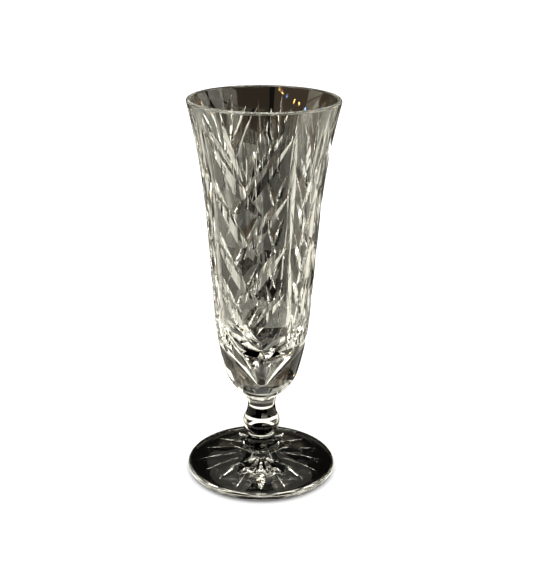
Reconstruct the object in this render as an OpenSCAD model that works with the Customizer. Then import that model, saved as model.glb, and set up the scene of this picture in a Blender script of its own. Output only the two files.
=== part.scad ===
// Champagne flute in cut lead crystal, in millimetres, +Z up.
// The origin is the centre of the flat ring that the foot rests on.
// The flute is six pieces of glass, joined hot: bowl, neck, knop, stem, foot ring and foot.
// All cutting is mitre work: every cut is a V groove whose edge is an arc, so it ends in points.

/* [Bowl] */
// Height of the whole flute
flute_h = 185; // [180:1:195]
// Outer radius of the bowl just under the lip
rim_r = 35.1; // [34:0.1:36.5]
// Outer radius where the straight taper turns into the flare
taper_top_r = 26.3; // [25.8:0.1:27]
// Outer radius at the bottom of the straight taper
taper_base_r = 22.85; // [22.5:0.05:23.2]
// Wall thickness of the straight taper
wall_t = 4; // [3.6:0.1:4.4]
// Wall thickness at the lip, to which the flare thins
lip_t = 2.2; // [2:0.1:2.6]
// Height of the inside's lowest point
cavity_base_z = 49; // [48:0.5:51]

/* [Stem] */
// Radius of the neck's and the knop's ends
neck_end_r = 7.6; // [7.4:0.1:7.8]
// Radius of the neck's waist
neck_waist_r = 6.8; // [6.6:0.05:7.1]
// Greatest radius of the knop
knop_r = 9.1; // [8.6:0.1:9.6]
// Radius of the stem at its waist
stem_waist_r = 6.5; // [6.2:0.1:6.7]
// Greatest radius of the ring between the stem and the foot
foot_ring_r = 8.5; // [8.2:0.1:8.5]

/* [Foot] */
// Outer radius of the foot
foot_r = 36.6; // [36:0.1:38]
// Thickness of the foot at its edge
foot_edge_t = 3.4; // [3:0.1:3.8]
// Height of the hollow under the foot, at its centre
foot_hollow_h = 1.2; // [0.8:0.1:1.6]

/* [Cutting] */
// Number of times that the pattern repeats round the bowl
repeats = 3; // [3:1:3]
// Number of V cuts stacked in each wide panel
chevrons = 5; // [3:1:5]
// Number of crossed cuts stacked in each narrow panel
crosses = 5; // [3:1:5]
// Depth of the wide panel's V cuts
chevron_depth = 1.7; // [1.3:0.1:1.9]
// Depth of the leaves, the crossed cuts and the uprights
leaf_depth = 1.1; // [0.8:0.1:1.3]
// Number of leaves in the star under the foot
star_leaves = 16; // [12:2:16]
// Depth of the star's leaves
star_depth = 1.9; // [1.4:0.1:2.1]

/* [Hidden] */
$fn = 128;
// The sections' own arcs are long, so they are drawn more finely
profile_fn = 256;
crystal = [0.9, 0.93, 0.94, 0.45];

// Heights of the joints between the pieces
foot_top_z = 11;
ring_top_z = 13.5;
stem_top_z = 19.8;
knop_top_z = 28.8;
// Radii of the ends of the stem and of the ring under it
stem_end_r = 7;
ring_end_r = 7.3;

// Bowl: a flare over a straight taper, over two round stretches and a cone down to the neck
taper_top_z = 128;
taper_base_z = 82;
taper_angle = atan((taper_top_r - taper_base_r) / (taper_top_z - taper_base_z));
taper_out = [cos(taper_angle), -sin(taper_angle)];
taper_top = [taper_top_r, taper_top_z];
taper_base = [taper_base_r, taper_base_z];
lip_r = lip_t / 2 + 0.02;
lip_centre_z = flute_h - lip_r;
rim = [rim_r, lip_centre_z];
flare_r = pow(norm(rim - taper_top), 2) / (2 * (rim - taper_top) * taper_out);
flare_c = taper_top + flare_r * taper_out;
hip_r = 150;
hip_base_z = 53;
hip_c = taper_base - hip_r * taper_out;
hip_base = [hip_c[0] + sqrt(pow(hip_r, 2) - pow(hip_base_z - hip_c[1], 2)), hip_base_z];
belly_r = 22;
belly_c = hip_base + (hip_c - hip_base) * belly_r / hip_r;
belly_cone_a = 45;
belly_end = belly_c + belly_r * [cos(belly_cone_a), -sin(belly_cone_a)];
neck_top_z = belly_end[1] - (belly_end[0] - neck_end_r) / tan(belly_cone_a);

// Inside of the bowl: a parallel wall, over a round stretch and a cone with a round tip
cavity_hip_z = 84;
cavity_hip = [taper_r(cavity_hip_z) - wall_t / cos(taper_angle), cavity_hip_z];
cavity_cone_a = 33;
cavity_cone_out = [cos(cavity_cone_a), -sin(cavity_cone_a)];
cavity_tip_r = 3;
cavity_tip_c = [0, cavity_base_z + cavity_tip_r];
cavity_apex_z = cavity_tip_c[1] - cavity_tip_r / sin(cavity_cone_a);
cavity_hip_r = ((cavity_hip_z - cavity_apex_z) * tan(cavity_cone_a) - cavity_hip[0])
    / ((sin(cavity_cone_a) - sin(taper_angle)) * tan(cavity_cone_a)
        - cos(taper_angle) + cos(cavity_cone_a));
cavity_hip_c = cavity_hip - cavity_hip_r * taper_out;
cavity_hip_end = cavity_hip_c + cavity_hip_r * cavity_cone_out;
cavity_tip_end = cavity_tip_c + cavity_tip_r * cavity_cone_out;

// Lip, and the inside of the flare, which is one more arc from the taper up to the lip
lip_lean = asin((lip_centre_z - flare_c[1]) / (flare_r + lip_t / 2));
lip_in = [-cos(lip_lean), sin(lip_lean)];
lip_c = flare_c + (flare_r + lip_t / 2) * lip_in;
inner_top = taper_top - wall_t * taper_out;
inner_rise = flare_c + (flare_r + lip_t) * lip_in - inner_top;
inner_flare_r = pow(norm(inner_rise), 2) / (2 * inner_rise * taper_out);
inner_flare_c = inner_top + inner_flare_r * taper_out;
// Arcs are this much larger than tangent ones, so that each one crosses its neighbour
lap = 0.003;
// How far the straight tapers run on above the points where the flare leaves them
taper_run_on = 10;

// Pattern: azimuths in degrees from a wide panel's middle line, heights in millimetres
pattern_turn = -105;
panel_step = 360 / repeats;
fan_top_z = 181.5;
chevron_tip_a = 40;
chevron_tail_a = 14.5;
last_tail_a = 2.5;
chevron_tip_z = 175;
chevron_pitch = 27;
chevron_shrink = 0.93;
chevron_drop = 37.5;
chevron_drop_shrink = 0.88;
cross_top_z = 147.2;
cross_pitch = 19.8;
cross_shrink = 0.93;
cross_rise = 17;
cross_fall = 8;
chevron_flank = 60;
leaf_flank = 56;
// The fan's long leaves are deeper than the others, and the narrow panel's tall leaf is shallower
long_leaf_depth = leaf_depth + 0.3;
tall_leaf_depth = leaf_depth - 0.4;
cut_clear = 0.6;

// Foot: a hollow top slope, a round edge, a flat ring to rest on, and a hollow with the star
foot_land_out_r = foot_r - foot_edge_t / 2 + 0.1;
foot_land_in_r = 31.5;
foot_slope_r = 63;
foot_slope_in = [7.5, foot_top_z];
foot_slope_out = [foot_r - foot_edge_t / 2, foot_edge_t - 0.01];
foot_slope_half = (foot_slope_out - foot_slope_in) / 2;
foot_slope_c = foot_slope_in + foot_slope_half
    + [-foot_slope_half[1], foot_slope_half[0]] / norm(foot_slope_half)
    * sqrt(pow(foot_slope_r, 2) - pow(norm(foot_slope_half), 2));
hollow_r = (pow(foot_land_in_r, 2) + pow(foot_hollow_h, 2)) / (2 * foot_hollow_h);
hollow_c = [0, foot_hollow_h - hollow_r];
star_tip_r = 30.4;
star_root_r = 5;
star_mid_r = (star_root_r + star_tip_r) / 2;
star_flank = 52;

// Everything right of the axis, from one height up or down
module above(z) {
    translate([0, z]) square([2 * rim_r, 1.1 * flute_h - z]);
}
module below(z) {
    square([2 * rim_r, z]);
}

// A round stretch of the section, whose ends are tangent to its neighbours
module round_stretch(centre, radius) {
    translate(centre) circle(radius + lap, $fn = profile_fn);
}

// Left of the line that leaves the axis at a height and leans out by an angle
module cone(apex_z, angle) {
    polygon([[0, apex_z], [2 * rim_r, apex_z + 2 * rim_r / tan(angle)], [0, 2 * flute_h]]);
}

// Left of a taper's line, between two heights
module taper(offset_r, z_low, z_high) {
    polygon([[0, z_low], [taper_r(z_low) - offset_r, z_low], [taper_r(z_high) - offset_r, z_high],
        [0, z_high]]);
}

// Left of a flare's circle, from a height up
module flare(centre, radius, z) {
    difference() {
        above(z);
        translate(centre) circle(radius + lap, $fn = profile_fn);
    }
}

// A turned piece with one arc between its ends, which swells or is waisted
module turned(z_low, z_high, end_r, middle_r) {
    half_h = (z_high - z_low) / 2;
    swell = middle_r - end_r;
    arc_r = (pow(half_h, 2) + pow(swell, 2)) / (2 * abs(swell));
    mid_z = z_low + half_h;
    rotate_extrude()
        if (swell > 0) intersection() {
            union() {
                translate([middle_r - arc_r, mid_z]) circle(arc_r);
                translate([0, z_low - 1]) square([middle_r - arc_r, 2 * half_h + 2]);
            }
            translate([0, z_low]) square([middle_r + 1, 2 * half_h]);
        }
        else difference() {
            translate([0, z_low]) square([end_r, 2 * half_h]);
            translate([middle_r + arc_r, mid_z]) circle(arc_r + lap);
        }
}

function taper_r(z) = taper_base_r + (z - taper_base_z) * tan(taper_angle);
function arc_at(centre, radius, z) = centre[0] + radius * sqrt(1 - pow((z - centre[1]) / radius, 2));

// Outer radius of the bowl at a height in its cut part, and how far its wall leans out there
function bowl_r(z) =
    z > taper_top_z ? flare_c[0] - sqrt(pow(flare_r, 2) - pow(z - flare_c[1], 2))
    : z > taper_base_z ? taper_r(z)
    : arc_at(hip_c, hip_r, z);
function bowl_lean(z) = atan(bowl_r(z + 0.5) - bowl_r(z - 0.5));
function on_bowl(a, z) = [bowl_r(z) * cos(a), bowl_r(z) * sin(a), z];
function bowl_out(a, z) =
    [cos(a) * cos(bowl_lean(z)), sin(a) * cos(bowl_lean(z)), -sin(bowl_lean(z))];
function unit(v) = v / norm(v);

// A V groove between two points of a surface. Its edge is the arc through both points and
// through the point that lies depth under the surface point middle, whose normal is out.
module mitre(from, to, middle, out, depth, flank) {
    along = unit(to - from);
    up = unit(out - (out * along) * along);
    side = cross(up, along);
    chord_mid = (from + to) / 2;
    rise = (middle - chord_mid) * up - depth;
    half = norm(to - from) / 2;
    edge_r = (pow(half, 2) + pow(rise, 2)) / (2 * abs(rise));
    reach = asin(min(1, (half + cut_clear) / edge_r));
    deep = depth + cut_clear;
    wide = deep * tan(flank);
    at = chord_mid + up * rise;
    way = rise > 0 ? 1 : -1;
    multmatrix([[up[0], along[0], side[0], at[0]],
                [up[1], along[1], side[1], at[1]],
                [up[2], along[2], side[2], at[2]]])
        translate([-way * edge_r, 0, 0])
            rotate_extrude(start = (rise > 0 ? 0 : 180) - reach, angle = 2 * reach)
                polygon([[edge_r, 0], [edge_r + way * deep, wide], [edge_r + way * deep, -wide]]);
}

// A mitre on the bowl, from one azimuth and height to another
module bowl_cut(from, to, depth, flank) {
    mid = (from + to) / 2;
    mitre(on_bowl(from[0], from[1]), on_bowl(to[0], to[1]), on_bowl(mid[0], mid[1]),
        bowl_out(mid[0], mid[1]), depth, flank);
}

// The same cut on both sides of a panel's middle line
module paired_cut(from, to, depth, flank) {
    for (s = [-1, 1]) bowl_cut([s * from[0], from[1]], [s * to[0], to[1]], depth, flank);
}

function fallen(z, pitch, shrink, i) = z - pitch * (1 - pow(shrink, i)) / (1 - shrink);

// Stacked V cuts, whose arms run on past the middle line, the last one's only just
module chevron_stack() {
    for (i = [0 : chevrons - 1]) {
        tip = [chevron_tip_a, fallen(chevron_tip_z, chevron_pitch, chevron_shrink, i)];
        drop = chevron_drop * pow(chevron_drop_shrink, i);
        tail_a = i < chevrons - 1 ? chevron_tail_a : last_tail_a;
        share = (chevron_tip_a + tail_a) / (chevron_tip_a + chevron_tail_a);
        paired_cut(tip, [-tail_a, tip[1] - drop * share], chevron_depth, chevron_flank);
    }
}

// Leaves that fan out above the first V
module fan() {
    bowl_cut([0, 153], [0, 172], leaf_depth, leaf_flank);
    paired_cut([2.5, 153], [18, fan_top_z], long_leaf_depth, leaf_flank);
    paired_cut([7, 156], [29.5, 175.5], leaf_depth, leaf_flank);
}

// Two upright cuts, one above the other, that part a wide panel from its neighbours
module uprights() {
    paired_cut([40, 178], [43.5, 118], leaf_depth, leaf_flank);
    paired_cut([42.5, 124], [48.5, 67], leaf_depth, leaf_flank);
}

// Narrow panel: a tall leaf between two short ones, over crossed cuts
module narrow_panel() {
    bowl_cut([0, 153], [0, fan_top_z], tall_leaf_depth, leaf_flank);
    paired_cut([3, 152], [9, 174.5], leaf_depth, leaf_flank);
    for (i = [0 : crosses - 1]) {
        z = fallen(cross_top_z, cross_pitch, cross_shrink, i);
        size = pow(cross_shrink, i);
        paired_cut([14 * size, z + cross_rise * size], [-7 * size, z - cross_fall * size],
            leaf_depth, leaf_flank);
    }
}

// The bowl's section right of the axis, filled in
module bowl_outline() {
    intersection() {
        taper(0, neck_top_z, taper_top_z + taper_run_on);
        cone(belly_end[1] - belly_end[0] / tan(belly_cone_a), belly_cone_a);
        union() {
            round_stretch(hip_c, hip_r);
            above(taper_base_z);
        }
        union() {
            below(belly_end[1]);
            round_stretch(belly_c, belly_r);
            above(hip_base_z);
        }
    }
    flare(flare_c, flare_r, taper_top_z);
}

// The room inside the bowl, right of the axis
module cavity() {
    intersection() {
        taper(wall_t / cos(taper_angle), cavity_base_z - 1, taper_top_z + taper_run_on);
        cone(cavity_apex_z, cavity_cone_a);
        union() {
            below(cavity_hip_end[1]);
            round_stretch(cavity_hip_c, cavity_hip_r);
            above(cavity_hip_z);
        }
        union() {
            round_stretch(cavity_tip_c, cavity_tip_r);
            above(cavity_tip_end[1]);
        }
    }
    flare(inner_flare_c, inner_flare_r, inner_top[1]);
}

// The bowl's section, which its round lip closes at the top
module bowl_section() {
    difference() {
        bowl_outline();
        cavity();
        translate(lip_c) rotate(-lip_lean) translate([-2 * rim_r, 0]) square(4 * rim_r);
    }
    translate(lip_c) circle(lip_r);
}

module bowl() {
    color(crystal) difference() {
        rotate_extrude() bowl_section();
        for (k = [0 : repeats - 1]) rotate(pattern_turn + k * panel_step) {
            chevron_stack();
            fan();
            uprights();
            rotate(panel_step / 2) narrow_panel();
        }
    }
}

module neck() {
    color(crystal) turned(knop_top_z, neck_top_z, neck_end_r, neck_waist_r);
}

module knop() {
    color(crystal) turned(stem_top_z, knop_top_z, neck_end_r, knop_r);
}

module stem() {
    color(crystal) turned(ring_top_z, stem_top_z, stem_end_r, stem_waist_r);
}

module foot_ring() {
    color(crystal) turned(foot_top_z, ring_top_z, ring_end_r, foot_ring_r);
}

// Height of the hollow's surface under the foot, at a radius
function hollow_z(r) = hollow_c[1] + sqrt(pow(hollow_r, 2) - pow(r, 2));

module foot() {
    color(crystal) difference() {
        rotate_extrude() difference() {
            union() {
                square([foot_land_out_r, foot_top_z]);
                translate([foot_r - foot_edge_t / 2, foot_edge_t / 2]) circle(foot_edge_t / 2);
            }
            translate(foot_slope_c) circle(foot_slope_r, $fn = profile_fn);
            translate(hollow_c) circle(hollow_r, $fn = profile_fn);
        }
        for (k = [0 : star_leaves - 1]) rotate(k * 360 / star_leaves)
            mitre([star_root_r, 0, hollow_z(star_root_r)], [star_tip_r, 0, hollow_z(star_tip_r)],
                [star_mid_r, 0, hollow_z(star_mid_r)], [0, 0, -1], star_depth, star_flank);
    }
}

bowl();
neck();
knop();
stem();
foot_ring();
foot();
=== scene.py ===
import math

import bmesh
import bpy
import numpy as np
from mathutils import Matrix, Vector


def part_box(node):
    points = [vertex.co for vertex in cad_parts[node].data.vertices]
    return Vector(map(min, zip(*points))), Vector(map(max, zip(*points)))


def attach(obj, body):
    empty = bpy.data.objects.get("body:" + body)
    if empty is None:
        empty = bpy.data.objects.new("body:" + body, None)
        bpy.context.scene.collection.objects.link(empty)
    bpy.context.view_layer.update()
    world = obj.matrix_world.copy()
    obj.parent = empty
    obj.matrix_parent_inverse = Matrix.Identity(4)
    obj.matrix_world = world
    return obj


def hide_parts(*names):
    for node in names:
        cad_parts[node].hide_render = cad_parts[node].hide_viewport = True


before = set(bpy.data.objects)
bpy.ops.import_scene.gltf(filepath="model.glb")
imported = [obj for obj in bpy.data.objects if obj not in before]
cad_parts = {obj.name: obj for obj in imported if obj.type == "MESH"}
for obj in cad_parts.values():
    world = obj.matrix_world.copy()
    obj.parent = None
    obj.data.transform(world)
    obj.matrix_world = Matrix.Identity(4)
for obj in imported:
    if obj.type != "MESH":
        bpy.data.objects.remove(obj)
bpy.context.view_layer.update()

MM = 0.001
GLASS, JOINT, CUT = 0, 1, 2

# ---------------------------------------------------------------- sizes, from the frame
LIP_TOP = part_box("bowl")[1].z / MM
BOWL_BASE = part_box("bowl")[0].z / MM
RIM_R = 35.1
WALL, LIP_T = 4.0, 2.2
TAPER_TOP = np.array([26.3, 128.0])
TAPER_BASE = np.array([22.85, 82.0])
HIP_R, HIP_BASE_Z, BELLY_R, BELLY_CONE = 150.0, 53.0, 22.0, math.radians(45)
CAVITY_BASE, CAVITY_HIP_Z, CAVITY_TIP_R, CAVITY_CONE = 49.0, 84.0, 3.0, math.radians(33)
NECK_END_R, STEM_END_R, RING_END_R = 7.6, 7.0, 7.3
NECK_WAIST_R, KNOP_R, STEM_WAIST_R, RING_R = 6.8, 9.1, 6.5, 8.5
BOWL_SEGMENTS, SEGMENTS = 320, 256

TAPER_ANGLE = math.atan2(*(TAPER_TOP - TAPER_BASE))
TAPER_OUT = np.array([math.cos(TAPER_ANGLE), -math.sin(TAPER_ANGLE)])
LIP_R = LIP_T / 2 + 0.02
LIP_Z = LIP_TOP - LIP_R
RIM = np.array([RIM_R, LIP_Z])
FLARE_R = np.sum((RIM - TAPER_TOP) ** 2) / (2 * np.dot(RIM - TAPER_TOP, TAPER_OUT))
FLARE_C = TAPER_TOP + FLARE_R * TAPER_OUT
HIP_C = TAPER_BASE - HIP_R * TAPER_OUT
HIP_BASE = np.array([HIP_C[0] + math.sqrt(HIP_R ** 2 - (HIP_BASE_Z - HIP_C[1]) ** 2), HIP_BASE_Z])
BELLY_C = HIP_BASE + (HIP_C - HIP_BASE) * BELLY_R / HIP_R
BELLY_END = BELLY_C + BELLY_R * np.array([math.cos(BELLY_CONE), -math.sin(BELLY_CONE)])
LIP_LEAN = math.asin((LIP_Z - FLARE_C[1]) / (FLARE_R + LIP_T / 2))
LIP_IN = np.array([-math.cos(LIP_LEAN), math.sin(LIP_LEAN)])
LIP_C = FLARE_C + (FLARE_R + LIP_T / 2) * LIP_IN
INNER_TOP = TAPER_TOP - WALL * TAPER_OUT
INNER_RIM = FLARE_C + (FLARE_R + LIP_T) * LIP_IN
INNER_FLARE_R = np.sum((INNER_RIM - INNER_TOP) ** 2) / (2 * np.dot(INNER_RIM - INNER_TOP, TAPER_OUT))
INNER_FLARE_C = INNER_TOP + INNER_FLARE_R * TAPER_OUT


def taper_r(z):
    return TAPER_BASE[0] + (z - TAPER_BASE[1]) * math.tan(TAPER_ANGLE)


CAVITY_HIP = np.array([taper_r(CAVITY_HIP_Z) - WALL / math.cos(TAPER_ANGLE), CAVITY_HIP_Z])
CONE_OUT = np.array([math.cos(CAVITY_CONE), -math.sin(CAVITY_CONE)])
TIP_C = np.array([0.0, CAVITY_BASE + CAVITY_TIP_R])
APEX_Z = TIP_C[1] - CAVITY_TIP_R / math.sin(CAVITY_CONE)
CAVITY_HIP_R = (((CAVITY_HIP_Z - APEX_Z) * math.tan(CAVITY_CONE) - CAVITY_HIP[0])
                / ((math.sin(CAVITY_CONE) - math.sin(TAPER_ANGLE)) * math.tan(CAVITY_CONE)
                   - math.cos(TAPER_ANGLE) + math.cos(CAVITY_CONE)))
CAVITY_HIP_C = CAVITY_HIP - CAVITY_HIP_R * TAPER_OUT
CAVITY_HIP_END = CAVITY_HIP_C + CAVITY_HIP_R * CONE_OUT
CAVITY_TIP_END = TIP_C + CAVITY_TIP_R * CONE_OUT


# ---------------------------------------------------------------- outlines, with their normals
def arc(centre, radius, start, end, steps, inward=False):
    """Points and normals along an arc of the section, from one angle to another, in radians."""
    turn = np.linspace(start, end, steps + 1)
    out = np.stack([np.cos(turn), np.sin(turn)], 1)
    return centre + radius * out, (-out if inward else out)


def angle_of(centre, point):
    return math.atan2(point[1] - centre[1], point[0] - centre[0])


def line(start, end, steps, normal):
    share = np.linspace(0, 1, steps + 1)[:, None]
    return start + (end - start) * share, np.repeat([normal], steps + 1, 0)


def lathe(name, stretches, segments):
    """Turns stretches of an outline about Z. Each is (points, normals, material slot), in millimetres.

    A stretch that starts or ends on the axis closes there. The face corners keep the outline's own
    normals, so the surface bends light as the true curve does.
    """
    verts, faces, slots, normals = [], [], [], []
    turn = np.linspace(0, 2 * math.pi, segments, endpoint=False)
    around = np.stack([np.cos(turn), np.sin(turn)], 1)
    ring_of = {}

    def ring(point):
        key = (round(point[0], 5), round(point[1], 5))
        if key not in ring_of:
            ring_of[key] = len(verts)
            if key[0] < 1e-4:
                verts.append((0, 0, point[1]))
            else:
                verts.extend((point[0] * c, point[0] * s, point[1]) for c, s in around)
        return ring_of[key], key[0] < 1e-4

    for points, out, slot in stretches:
        for k in range(len(points) - 1):
            (a, a_pole), (b, b_pole) = ring(points[k]), ring(points[k + 1])
            for i in range(segments):
                j = (i + 1) % segments
                low = [(a, i, k)] if a_pole else [(a + i, i, k), (a + j, j, k)]
                high = [(b, i, k + 1)] if b_pole else [(b + j, j, k + 1), (b + i, i, k + 1)]
                corners = low + high
                faces.append([c[0] for c in corners])
                slots.append(slot)
                for _, at, row in corners:
                    c, s = around[at]
                    normals.append((out[row][0] * c, out[row][0] * s, out[row][1]))
    return make_mesh(name, np.array(verts) * MM, faces, slots), np.array(normals)


def make_mesh(name, verts, faces, slots=None):
    mesh = bpy.data.meshes.new(name)
    mesh.from_pydata([tuple(v) for v in verts], [], faces)
    if slots is not None:
        mesh.polygons.foreach_set("material_index", slots)
    mesh.update()
    piece = bpy.data.objects.new(name, mesh)
    bpy.context.scene.collection.objects.link(piece)
    return piece


def set_normals(piece, normals):
    piece.data.polygons.foreach_set("use_smooth", [True] * len(piece.data.polygons))
    piece.data.normals_split_custom_set([tuple(n) for n in normals])


# ---------------------------------------------------------------- mitre cuts
class Mitre:
    """A V groove whose edge is the arc through two surface points and a point under their middle."""

    def __init__(self, start, end, middle, out, depth, flank, clear=0.6):
        along = unit(end - start)
        self.up = unit(out - np.dot(out, along) * along)
        self.along = along
        self.side = np.cross(self.up, along)
        mid = (start + end) / 2
        rise = np.dot(middle - mid, self.up) - depth
        half = np.linalg.norm(end - start) / 2
        self.way = 1 if rise > 0 else -1
        self.edge_r = (half ** 2 + rise ** 2) / (2 * abs(rise))
        self.centre = mid + self.up * (rise - self.way * self.edge_r)
        self.reach = math.asin(min(1, (half + clear) / self.edge_r))
        self.deep = depth + clear
        self.slope = math.tan(math.radians(flank))

    def solid(self, step=0.7):
        """Corner points and faces of the cutter."""
        count = max(8, math.ceil(2 * self.reach * self.edge_r / step))
        outer = self.edge_r + self.way * self.deep
        wide = self.deep * self.slope
        verts = []
        for t in np.linspace(-self.reach, self.reach, count + 1):
            spoke = self.way * math.cos(t) * self.up + math.sin(t) * self.along
            for radius, offset in ((self.edge_r, 0), (outer, wide), (outer, -wide)):
                verts.append(self.centre + spoke * radius + self.side * offset)
        faces = [(0, 1, 2), (3 * count + 2, 3 * count + 1, 3 * count)]
        for k in range(count):
            for i in range(3):
                j = (i + 1) % 3
                faces.append((3 * k + i, 3 * k + 3 + i, 3 * k + 3 + j, 3 * k + j))
        return verts, faces

    def surface(self, points):
        """Distances of points from the two flanks, and the flanks' normals, out of the glass."""
        off = points - self.centre
        high = off @ self.side
        radial = off - high[:, None] * self.side
        radius = np.linalg.norm(radial, axis=1)
        radial = radial / radius[:, None]
        turn = np.arctan2(radial @ self.along, self.way * (radial @ self.up))
        near = np.abs(turn) < self.reach + 0.01
        results = []
        for sign in (1, -1):
            away = np.abs(sign * high - self.way * (radius - self.edge_r) * self.slope)
            away = np.where(near, away / math.hypot(1, self.slope), 1e9)
            out = self.way * self.slope * radial - sign * self.side
            results.append((away, out / math.hypot(1, self.slope)))
        return results


def unit(vector):
    return vector / np.linalg.norm(vector)


def cut(piece, groups, slot):
    """Takes groups of cutters off a piece. The cutters of one group don't overlap."""
    for group in groups:
        verts, faces = [], []
        for mitre in group:
            corner, side = mitre.solid()
            faces.extend(tuple(i + len(verts) for i in face) for face in side)
            verts.extend(corner)
        tool = make_mesh("tool", np.array(verts) * MM, faces, [slot] * len(faces))
        for material in piece.data.materials:
            tool.data.materials.append(material)
        orient_outward(tool.data)
        step = piece.modifiers.new("cut", "BOOLEAN")
        step.operation, step.solver, step.object = "DIFFERENCE", "MANIFOLD", tool
        apply_modifiers(piece)
        bpy.data.objects.remove(tool)


def orient_outward(mesh):
    work = bmesh.new()
    work.from_mesh(mesh)
    bmesh.ops.recalc_face_normals(work, faces=work.faces)
    work.to_mesh(mesh)
    work.free()


def apply_modifiers(piece):
    graph = bpy.context.evaluated_depsgraph_get()
    graph.update()
    solid = bpy.data.meshes.new_from_object(piece.evaluated_get(graph))
    piece.modifiers.clear()
    piece.data = solid


def corner_arrays(mesh):
    """Every face corner's point, in millimetres, and every face's size, middle, normal and slot."""
    co = np.empty(len(mesh.vertices) * 3)
    mesh.vertices.foreach_get("co", co)
    corner = np.empty(len(mesh.loops), int)
    mesh.loops.foreach_get("vertex_index", corner)
    size = np.empty(len(mesh.polygons), int)
    mesh.polygons.foreach_get("loop_total", size)
    middle = np.empty(len(mesh.polygons) * 3)
    mesh.polygons.foreach_get("center", middle)
    flat = np.empty(len(mesh.polygons) * 3)
    mesh.polygons.foreach_get("normal", flat)
    slot = np.empty(len(mesh.polygons), int)
    mesh.polygons.foreach_get("material_index", slot)
    return (co.reshape(-1, 3)[corner] / MM, size, middle.reshape(-1, 3) / MM,
            flat.reshape(-1, 3), slot)


def cut_normals(mitres, points, size, middle, flat, normals, faces):
    """Fills in the corner normals of the faces that lie on a groove's flank."""
    best = np.full(len(middle), 1e9)
    choice = np.full(len(middle), -1)
    flanks = [(m, k) for m in mitres for k in (0, 1)]
    for n, (mitre, k) in enumerate(flanks):
        away, out = mitre.surface(middle[faces])[k]
        away = away + np.where(np.sum(out * flat[faces], 1) > 0.9, 0, 1e9)
        better = away < best[faces]
        chosen = faces[better]
        best[chosen] = away[better]
        choice[chosen] = n
    of_corner = np.repeat(np.arange(len(middle)), size)
    for n, (mitre, k) in enumerate(flanks):
        corners = np.nonzero(choice[of_corner] == n)[0]
        if len(corners):
            normals[corners] = mitre.surface(points[corners])[k][1]


def round_normals(out, at, where, centre, sign):
    """Fills in the section's normals at some points: away from a centre, or towards it for sign -1."""
    away = at[where] - centre
    out[where] = sign * away / np.linalg.norm(away, axis=1)[:, None]


def cut_piece(name, outline, segments, groups, section_normals, joint_normal, materials):
    """A turned piece with mitres cut into it, and every face corner's exact normal."""
    piece, _ = lathe(name, outline, segments)
    for material in (*materials, None):
        piece.data.materials.append(material)
    orient_outward(piece.data)
    cut(piece, groups, CUT)
    mesh = piece.data
    points, size, middle, flat, slot = corner_arrays(mesh)
    of_corner = np.repeat(np.arange(len(middle)), size)
    at = np.stack([np.hypot(points[:, 0], points[:, 1]), points[:, 2]], 1)
    face_at = np.stack([np.hypot(middle[:, 0], middle[:, 1]), middle[:, 2]], 1)[of_corner]
    around = points[:, :2] / np.maximum(at[:, :1], 1e-9)
    out = section_normals(at, face_at)
    normals = np.concatenate([around * out[:, :1], out[:, 1:]], 1)
    normals[(slot == JOINT)[of_corner]] = joint_normal
    is_cut = (slot == CUT)[of_corner]
    normals[is_cut] = flat[of_corner][is_cut]
    faces = np.nonzero(slot == CUT)[0]
    mitres = [mitre for group in groups for mitre in group]
    cut_normals(mitres, points, size, middle, flat, normals, faces)
    slot[faces] = GLASS
    mesh.polygons.foreach_set("material_index", slot)
    mesh.materials.pop(index=CUT)
    set_normals(piece, normals)
    return piece


# ---------------------------------------------------------------- the bowl
def bowl_outline():
    base = np.array([NECK_END_R, BOWL_BASE])
    cone = line(base, BELLY_END, 12, (math.cos(BELLY_CONE), -math.sin(BELLY_CONE)))
    belly = arc(BELLY_C, BELLY_R, -BELLY_CONE, angle_of(BELLY_C, HIP_BASE), 24)
    hip = arc(HIP_C, HIP_R, angle_of(HIP_C, HIP_BASE), angle_of(HIP_C, TAPER_BASE), 22)
    taper = line(TAPER_BASE, TAPER_TOP, 30, TAPER_OUT)
    lip_angle, flare_start = math.pi - LIP_LEAN, angle_of(FLARE_C, TAPER_TOP) % math.tau
    flare = arc(FLARE_C, FLARE_R, flare_start, lip_angle, 44, True)
    lip = arc(LIP_C, LIP_T / 2, -LIP_LEAN, math.pi - LIP_LEAN, 32)
    inner_flare = arc(INNER_FLARE_C, INNER_FLARE_R, angle_of(INNER_FLARE_C, INNER_RIM),
                      angle_of(INNER_FLARE_C, INNER_TOP), 44)
    inner_taper = line(inner_flare[0][-1], CAVITY_HIP, 24, -TAPER_OUT)
    inner_hip = arc(CAVITY_HIP_C, CAVITY_HIP_R, -TAPER_ANGLE, -CAVITY_CONE, 32, True)
    inner_cone = line(CAVITY_HIP_END, CAVITY_TIP_END, 12, -CONE_OUT)
    tip = arc(TIP_C, CAVITY_TIP_R, -CAVITY_CONE, -math.pi / 2, 16, True)
    cap = line(np.array([0.0, BOWL_BASE]), base, 1, (0, -1))
    sides = [cone, belly, hip, taper, flare, lip, inner_flare, inner_taper, inner_hip, inner_cone, tip]
    return [(*cap, JOINT)] + [(*side, GLASS) for side in sides]


def bowl_r(z):
    if z > TAPER_TOP[1]:
        return FLARE_C[0] - math.sqrt(FLARE_R ** 2 - (z - FLARE_C[1]) ** 2)
    if z > TAPER_BASE[1]:
        return taper_r(z)
    if z > HIP_BASE_Z:
        return HIP_C[0] + math.sqrt(HIP_R ** 2 - (z - HIP_C[1]) ** 2)
    if z > BELLY_END[1]:
        return BELLY_C[0] + math.sqrt(BELLY_R ** 2 - (z - BELLY_C[1]) ** 2)
    return BELLY_END[0] + (z - BELLY_END[1]) * math.tan(BELLY_CONE)


def on_bowl(turn, z):
    return np.array([bowl_r(z) * math.cos(turn), bowl_r(z) * math.sin(turn), z])


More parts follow.
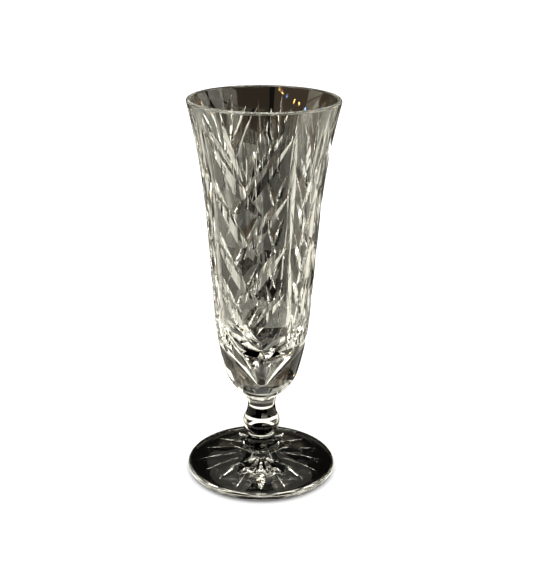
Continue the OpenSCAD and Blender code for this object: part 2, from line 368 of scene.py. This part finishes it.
def bowl_out(turn, z):
    lean = math.atan(bowl_r(z + 0.5) - bowl_r(z - 0.5))
    level = math.cos(lean)
    return np.array([math.cos(turn) * level, math.sin(turn) * level, -math.sin(lean)])


# The pattern: angles in degrees from the middle of a wide panel, heights in millimetres.
PATTERN_TURN, REPEATS, NARROW_TURN = -105.0, 3, 60
CHEVRON_DEPTH, CHEVRON_FLANK = 1.7, 60.0
LEAF_DEPTH, LEAF_FLANK = 1.1, 56.0
LONG_LEAF_DEPTH, TALL_LEAF_DEPTH = LEAF_DEPTH + 0.3, LEAF_DEPTH - 0.4
# V cuts, from a tip at the panel's side to a tail past its middle, each lower and flatter
CHEVRONS, CHEVRON_TIP_A, CHEVRON_TAIL_A, LAST_TAIL_A = 5, 40, 14.5, 2.5
CHEVRON_TIP_Z, CHEVRON_PITCH, CHEVRON_SHRINK = 175, 27, 0.93
CHEVRON_DROP, CHEVRON_DROP_SHRINK = 37.5, 0.88
FAN_BASE_Z, FAN_TOP_Z = 153, 181.5
# crossed cuts of the narrow panels, each lower and smaller
CROSSES, CROSS_TOP_Z, CROSS_PITCH, CROSS_SHRINK = 5, 147.2, 19.8, 0.93
CROSS_UP_A, CROSS_RISE, CROSS_DOWN_A, CROSS_FALL = 14, 17, 7, 8


def bowl_cuts():
    """Groups of mitres: one group holds the same cut of every panel, on one side of its middle."""
    groups = []

    def add(start, end, depth=LEAF_DEPTH, flank=LEAF_FLANK, middle=0.0):
        group = []
        for k in range(REPEATS):
            turn = PATTERN_TURN + middle + 360 / REPEATS * k
            a, b = (np.array([math.radians(turn + p[0]), p[1]]) for p in (start, end))
            half = (a + b) / 2
            group.append(Mitre(on_bowl(*a), on_bowl(*b), on_bowl(*half), bowl_out(*half),
                               depth, flank))
        groups.append(group)

    def pair(start, end, depth=LEAF_DEPTH, flank=LEAF_FLANK, middle=0.0):
        for s in (-1, 1):
            add((s * start[0], start[1]), (s * end[0], end[1]), depth, flank, middle)

    def fallen(z, pitch, shrink, i):
        return z - pitch * (1 - shrink ** i) / (1 - shrink)

    for i in range(CHEVRONS):
        tip_z = fallen(CHEVRON_TIP_Z, CHEVRON_PITCH, CHEVRON_SHRINK, i)
        tail_a = CHEVRON_TAIL_A if i < CHEVRONS - 1 else LAST_TAIL_A
        run = (CHEVRON_TIP_A + tail_a) / (CHEVRON_TIP_A + CHEVRON_TAIL_A)
        tail_z = tip_z - CHEVRON_DROP * CHEVRON_DROP_SHRINK ** i * run
        pair((CHEVRON_TIP_A, tip_z), (-tail_a, tail_z), CHEVRON_DEPTH, CHEVRON_FLANK)
    # the fan of five leaves over the V cuts
    add((0, FAN_BASE_Z), (0, 172))
    pair((2.5, FAN_BASE_Z), (18, FAN_TOP_Z), LONG_LEAF_DEPTH)
    pair((7, 156), (29.5, 175.5))
    # the uprights between the panels, in two lengths
    pair((40, 178), (43.5, 118))
    pair((42.5, 124), (48.5, 67))
    # the three leaves over the crossed cuts
    add((0, FAN_BASE_Z), (0, FAN_TOP_Z), TALL_LEAF_DEPTH, middle=NARROW_TURN)
    pair((3, 152), (9, 174.5), middle=NARROW_TURN)
    for i in range(CROSSES):
        z, size = fallen(CROSS_TOP_Z, CROSS_PITCH, CROSS_SHRINK, i), CROSS_SHRINK ** i
        pair((CROSS_UP_A * size, z + CROSS_RISE * size), (-CROSS_DOWN_A * size, z - CROSS_FALL * size),
             middle=NARROW_TURN)
    return groups


def wall_middle(z):
    """A radius inside the bowl's wall at a height, or -1 below the cavity, where all is outside."""
    if z < CAVITY_BASE:
        return -1
    if z >= CAVITY_HIP_Z:
        return bowl_r(min(z, LIP_Z)) - LIP_T / 2
    if z > CAVITY_HIP_END[1]:
        inside = CAVITY_HIP_C[0] + math.sqrt(CAVITY_HIP_R ** 2 - (z - CAVITY_HIP_C[1]) ** 2)
    else:
        inside = (z - APEX_Z) * math.tan(CAVITY_CONE)
    return (bowl_r(z) + inside) / 2


def bowl_normals(at, face_at):
    """The section's normals at points (radius, height), by where their faces' middles lie."""
    out = np.zeros_like(at)
    lip = (face_at - LIP_C) @ np.array([math.sin(LIP_LEAN), math.cos(LIP_LEAN)]) > 0
    z = face_at[:, 1]
    outer = ~lip & (face_at[:, 0] > np.array([wall_middle(height) for height in z]))
    inner = ~lip & ~outer
    round_normals(out, at, lip, LIP_C, 1)
    round_normals(out, at, outer & (z > TAPER_TOP[1]), FLARE_C, -1)
    out[outer & (z <= TAPER_TOP[1]) & (z > TAPER_BASE[1])] = TAPER_OUT
    round_normals(out, at, outer & (z <= TAPER_BASE[1]) & (z > HIP_BASE_Z), HIP_C, 1)
    round_normals(out, at, outer & (z <= HIP_BASE_Z) & (z > BELLY_END[1]), BELLY_C, 1)
    out[outer & (z <= BELLY_END[1])] = (math.cos(BELLY_CONE), -math.sin(BELLY_CONE))
    round_normals(out, at, inner & (z > INNER_TOP[1]), INNER_FLARE_C, 1)
    out[inner & (z <= INNER_TOP[1]) & (z > CAVITY_HIP_Z)] = -TAPER_OUT
    round_normals(out, at, inner & (z <= CAVITY_HIP_Z) & (z > CAVITY_HIP_END[1]), CAVITY_HIP_C, -1)
    out[inner & (z <= CAVITY_HIP_END[1]) & (z > CAVITY_TIP_END[1])] = -CONE_OUT
    round_normals(out, at, inner & (z <= CAVITY_TIP_END[1]), TIP_C, -1)
    return out


# ---------------------------------------------------------------- turned pieces
def turned_piece(name, node, end_r, middle_r, materials):
    """A short turned piece whose side is one arc, between the planes of the CAD node's box."""
    low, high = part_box(node)
    z_low, z_high = low.z / MM, high.z / MM
    half, swell = (z_high - z_low) / 2, middle_r - end_r
    radius = (half ** 2 + swell ** 2) / (2 * abs(swell))
    mid_z = z_low + half
    open_angle = math.asin(half / radius)
    if swell > 0:
        side = arc(np.array([middle_r - radius, mid_z]), radius, -open_angle, open_angle, 32)
    else:
        side = arc(np.array([middle_r + radius, mid_z]), radius,
                   math.pi + open_angle, math.pi - open_angle, 32, True)
    stretches = [(*line(np.array([0.0, z_low]), side[0][0], 1, (0, -1)), JOINT), (*side, GLASS),
                 (*line(side[0][-1], np.array([0.0, z_high]), 1, (0, 1)), JOINT)]
    piece, normals = lathe(name, stretches, SEGMENTS)
    for material in materials:
        piece.data.materials.append(material)
    set_normals(piece, normals)
    return piece


# ---------------------------------------------------------------- the foot
FOOT_R, FOOT_EDGE, FOOT_TOP = 36.6, 3.4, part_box("foot")[1].z / MM
FOOT_TOP_R, SLOPE_R = 7.5, 63.0
LAND_IN, HOLLOW_H = 31.5, 1.2
HOLLOW_R = (LAND_IN ** 2 + HOLLOW_H ** 2) / (2 * HOLLOW_H)
HOLLOW_C = np.array([0.0, HOLLOW_H - HOLLOW_R])
STAR_LEAVES, STAR_DEPTH, STAR_FLANK = 16, 1.9, 52.0
STAR_ROOT, STAR_TIP = 1.5, 30.4


def hollow_z(r):
    return HOLLOW_C[1] + math.sqrt(HOLLOW_R ** 2 - r ** 2)


def foot_outline():
    edge_c = np.array([FOOT_R - FOOT_EDGE / 2, FOOT_EDGE / 2])
    slope_in = np.array([FOOT_TOP_R, FOOT_TOP])
    slope_out = np.array([edge_c[0], FOOT_EDGE])
    half = (slope_out - slope_in) / 2
    across = np.array([-half[1], half[0]]) / np.linalg.norm(half)
    slope_c = slope_in + half + across * math.sqrt(SLOPE_R ** 2 - half @ half)
    hollow = arc(HOLLOW_C, HOLLOW_R, math.pi / 2, angle_of(HOLLOW_C, (LAND_IN, 0)), 40, True)
    land = line(np.array([LAND_IN, 0.0]), np.array([edge_c[0], 0.0]), 2, (0, -1))
    edge = arc(edge_c, FOOT_EDGE / 2, -math.pi / 2, math.pi / 2, 24)
    slope = arc(slope_c, SLOPE_R, angle_of(slope_c, slope_out) % (2 * math.pi),
                angle_of(slope_c, slope_in) % (2 * math.pi), 40, True)
    top = line(slope_in, np.array([0.0, FOOT_TOP]), 1, (0, 1))
    sides = [(*side, GLASS) for side in (hollow, land, edge, slope)]
    return [*sides, (*top, JOINT)], slope_c, edge_c


def star_cuts():
    """Groups of two mitres that lie opposite each other in the hollow under the foot."""
    groups = []
    for k in range(STAR_LEAVES // 2):
        group = []
        for turn in (math.tau * k / STAR_LEAVES, math.tau * k / STAR_LEAVES + math.pi):
            ray = np.array([math.cos(turn), math.sin(turn)])
            root, tip, mid = (np.array([*(ray * r), hollow_z(r)])
                              for r in (STAR_ROOT, STAR_TIP, (STAR_ROOT + STAR_TIP) / 2))
            group.append(Mitre(root, tip, mid, np.array([0, 0, -1.0]), STAR_DEPTH, STAR_FLANK))
        groups.append(group)
    return groups


def build_foot(materials):
    outline, slope_c, edge_c = foot_outline()

    def foot_normals(at, face_at):
        out = np.zeros_like(at)
        edge = face_at[:, 0] > edge_c[0]
        top = ~edge & (face_at[:, 1] > edge_c[1])
        land = ~edge & ~top & (face_at[:, 0] > LAND_IN)
        round_normals(out, at, edge, edge_c, 1)
        round_normals(out, at, top, slope_c, -1)
        round_normals(out, at, ~edge & ~top & ~land, HOLLOW_C, -1)
        out[land] = (0, -1)
        return out

    return cut_piece("foot_glass", outline, SEGMENTS, star_cuts(), foot_normals, (0, 0, 1), materials)


# ---------------------------------------------------------------- materials
def crystal():
    material = bpy.data.materials.new("crystal")
    material.use_nodes = True
    nodes, links = material.node_tree.nodes, material.node_tree.links
    shader = nodes["Principled BSDF"]
    shader.inputs["Base Color"].default_value = (0.985, 0.99, 0.985, 1)
    shader.inputs["Transmission Weight"].default_value = 1
    shader.inputs["IOR"].default_value = 1.545
    place = nodes.new("ShaderNodeTexCoord")
    smear = nodes.new("ShaderNodeTexNoise")
    smear.inputs["Scale"].default_value = 90
    smear.inputs["Detail"].default_value = 3
    links.new(place.outputs["Object"], smear.inputs["Vector"])
    rough = nodes.new("ShaderNodeMapRange")
    rough.inputs["From Min"].default_value = 0.45
    rough.inputs["From Max"].default_value = 0.75
    rough.inputs["To Min"].default_value = 0.0
    rough.inputs["To Max"].default_value = 0.01
    links.new(smear.outputs["Fac"], rough.inputs["Value"])
    links.new(rough.outputs["Result"], shader.inputs["Roughness"])
    ripple = nodes.new("ShaderNodeTexNoise")
    ripple.inputs["Scale"].default_value = 110
    ripple.inputs["Detail"].default_value = 1
    links.new(place.outputs["Object"], ripple.inputs["Vector"])
    bump = nodes.new("ShaderNodeBump")
    bump.inputs["Strength"].default_value = 0.5
    bump.inputs["Distance"].default_value = 0.00005
    links.new(ripple.outputs["Fac"], bump.inputs["Height"])
    links.new(bump.outputs["Normal"], shader.inputs["Normal"])
    return material


def fused_joint():
    """The plane where two pieces were joined hot: light passes it unbent, as inside one glass."""
    material = bpy.data.materials.new("fused_joint")
    material.use_nodes = True
    shader = material.node_tree.nodes["Principled BSDF"]
    shader.inputs["Base Color"].default_value = (1, 1, 1, 1)
    shader.inputs["Transmission Weight"].default_value = 1
    shader.inputs["IOR"].default_value = 1.0
    shader.inputs["Roughness"].default_value = 0
    return material


def plain(name, colour, roughness, glow=(1, 1, 1), strength=0.0):
    """One flat colour, which may also glow."""
    material = bpy.data.materials.new(name)
    material.use_nodes = True
    shader = material.node_tree.nodes["Principled BSDF"]
    shader.inputs["Base Color"].default_value = (*colour, 1)
    shader.inputs["Roughness"].default_value = roughness
    shader.inputs["Emission Color"].default_value = (*glow, 1)
    shader.inputs["Emission Strength"].default_value = strength
    return material


materials = [crystal(), fused_joint()]

bowl = cut_piece("bowl_glass", bowl_outline(), BOWL_SEGMENTS, bowl_cuts(), bowl_normals, (0, 0, -1),
                 materials)
foot = build_foot(materials)
neck = turned_piece("neck_glass", "neck", NECK_END_R, NECK_WAIST_R, materials)
knop = turned_piece("knop_glass", "knop", NECK_END_R, KNOP_R, materials)
stem = turned_piece("stem_glass", "stem", STEM_END_R, STEM_WAIST_R, materials)
ring = turned_piece("foot_ring_glass", "foot_ring", RING_END_R, RING_R, materials)

for piece, node in ((bowl, "bowl"), (neck, "neck"), (knop, "knop"), (stem, "stem"),
                    (ring, "foot_ring"), (foot, "foot")):
    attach(piece, "root")
    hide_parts(node)


# ---------------------------------------------------------------- stage, light and camera
def put_on_stage(name, verts, faces, material):
    piece = make_mesh(name, verts, faces)
    piece.data.materials.append(material)
    return piece


def for_glass_only(piece):
    """Like a photographer's flags and cards: seen in and through the glass, but not in the picture."""
    piece.visible_camera = False
    piece.visible_diffuse = False
    piece.visible_shadow = False
    piece.visible_volume_scatter = False


def card(name, start, end, low, high, colour, strength):
    """A card round the flute, from one azimuth to another: 0 is behind the flute and 90 to its right.

    low and high are (radius, height), so the card stands up, lies on the table or hangs over it.
    """
    steps = max(2, math.ceil(abs(end - start) / 4) + 1)
    turns = [math.radians(90 - azimuth) for azimuth in np.linspace(start, end, steps)]
    verts = [(r * math.cos(t), r * math.sin(t), z) for t in turns for r, z in (low, high)]
    faces = [(2 * k, 2 * k + 1, 2 * k + 3, 2 * k + 2) for k in range(len(turns) - 1)]
    for_glass_only(put_on_stage(name, verts, faces, plain(name, (0, 0, 0), 0.6, colour, strength)))


FLOOR, PAPER = 12, (0.9, 0.9, 0.9)
floor = put_on_stage("floor", [(-FLOOR, -FLOOR, 0), (FLOOR, -FLOOR, 0), (FLOOR, FLOOR, 0),
                               (-FLOOR, FLOOR, 0)],
                     [(0, 1, 2, 3)], plain("floor_paper", PAPER, 1.0, PAPER, 0.1))
floor.location.z = -0.001

# the black table top, as the glass sees it, and the dark room round it
ROOM_R, ROOM_TOP, TABLE_SIDES = 1.25, 2.6, 96
TABLE_Z, LYING_Z = -0.0004, -0.0002
disc = [(ROOM_R * math.cos(t), ROOM_R * math.sin(t), TABLE_Z)
        for t in np.linspace(0, math.tau, TABLE_SIDES, endpoint=False)]
for_glass_only(put_on_stage("table_top", disc, [tuple(range(TABLE_SIDES))],
                            plain("table_black", (0.012, 0.010, 0.008), 0.12)))

WHITE, BROWN = (1.0, 0.97, 0.85), (1.0, 0.76, 0.52)
STAND_R, LOW, HIGH, TOP, FAR = 1.1, 0.1, 0.4, 1.4, 0.6
card("room", 0, 360, (ROOM_R, -0.01), (ROOM_R, ROOM_TOP), WHITE, 0.0)
standing = [
    # soft boxes to the right and in front of it, and one to the left
    (45, 75, LOW, HIGH, 1.3), (75, 105, 0, LOW, 5.0), (105, 135, LOW, HIGH, 2.0),
    (135, 180, 0, 0.2, 3.0), (75, 105, HIGH, TOP, 2.0), (255, 285, LOW, HIGH, 2.0),
    # overhead banks to the left and behind
    (225, 285, 0.8, TOP, 2.5), (-45, 45, 0.8, TOP, 0.4), (-45, -15, HIGH, 0.8, 0.3),
]
for n, (start, end, low, high, strength) in enumerate(standing):
    card("standing_%d" % n, start, end, (STAND_R, low), (STAND_R, high), WHITE, strength)
lying = [
    # a pale ring round the foot, then paper to the right, to the left and behind, and a part ring
    # on the left and in front
    (0, 360, 0.0375, 0.06, 0.9), (45, 135, 0.08, 0.15, 0.7), (45, 135, 0.15, FAR, 0.62),
    (225, 315, 0.08, FAR, 0.5), (-45, 45, 0.11, 0.22, 0.16), (-45, 45, 0.35, FAR, 0.08),
    (135, 315, 0.06, 0.08, 1.0),
]
for n, (start, end, near, far, strength) in enumerate(lying):
    card("lying_%d" % n, start, end, (near, LYING_Z), (far, LYING_Z), WHITE, strength)
OVERHEAD_Z = 1.45
card("overhead", 0, 360, (0.35, OVERHEAD_Z), (0.7, OVERHEAD_Z), WHITE, 4.0)
# dark brown cards behind, with black gaps: each lies on the table and then stands up
BROWN_R, BROWN_TOP = 1.0, 0.26
brown = [(-34, -8, 0.06), (-4, 0.5, 0.03), (1, 14, 0.05), (18, 34, 0.07)]
for n, (start, end, strength) in enumerate(brown):
    card("brown_lying_%d" % n, start, end, (FAR, LYING_Z), (BROWN_R, LYING_Z), BROWN, strength)
    card("brown_standing_%d" % n, start, end, (BROWN_R, LYING_Z), (BROWN_R, BROWN_TOP),
         BROWN, strength)

# small lamps, whose glints the facets scatter; none stands where the foot would mirror it whole
AMBER, BLUE = (1.0, 0.62, 0.2), (0.25, 0.42, 1.0)
LAMPS, LAMP_R, LAMP_TURN, LAMP_HEIGHT, LAMP_STRENGTH = 24, 0.9, 1.1, 0.018, 50
for n in range(LAMPS):
    azimuth, height = 48 + 264 * ((n * 0.618) % 1), 0.1 + 0.95 * ((n * 0.382 + 0.1) % 1)
    card("lamp_%d" % n, azimuth, azimuth + LAMP_TURN, (LAMP_R, height), (LAMP_R, height + LAMP_HEIGHT),
         BLUE if n % 3 == 2 else AMBER, LAMP_STRENGTH)

world = bpy.data.worlds.new("studio")
bpy.context.scene.world = world
world.use_nodes = True
world.node_tree.nodes["Background"].inputs["Color"].default_value = (1, 1, 1, 1)
world.node_tree.nodes["Background"].inputs["Strength"].default_value = 1.0

scene = bpy.context.scene
scene.view_settings.view_transform = "Standard"
scene.view_settings.look = "High Contrast"
scene.cycles.max_bounces = 40
scene.cycles.transmission_bounces = 36
scene.cycles.glossy_bounces = 16
scene.cycles.caustics_refractive = False
scene.cycles.caustics_reflective = False

PITCH, YAW, ROLL = (math.radians(a) for a in (19.95, 0.22, 0.565))
CAMERA_AT, LENS, SENSOR = (0, -0.4925, 0.2738), 69.2, 36
camera_data = bpy.data.cameras.new("camera")
camera_data.lens = LENS
camera_data.sensor_width = SENSOR
camera = bpy.data.objects.new("camera", camera_data)
scene.collection.objects.link(camera)
ahead = Vector((math.sin(YAW) * math.cos(PITCH), math.cos(YAW) * math.cos(PITCH), -math.sin(PITCH)))
level = ahead.cross(Vector((0, 0, 1))).normalized()
upright = level.cross(ahead)
right = level * math.cos(ROLL) + upright * math.sin(ROLL)
over = upright * math.cos(ROLL) - level * math.sin(ROLL)
camera.matrix_world = Matrix((right, over, -ahead)).transposed().to_4x4()
camera.location = CAMERA_AT
scene.camera = camera
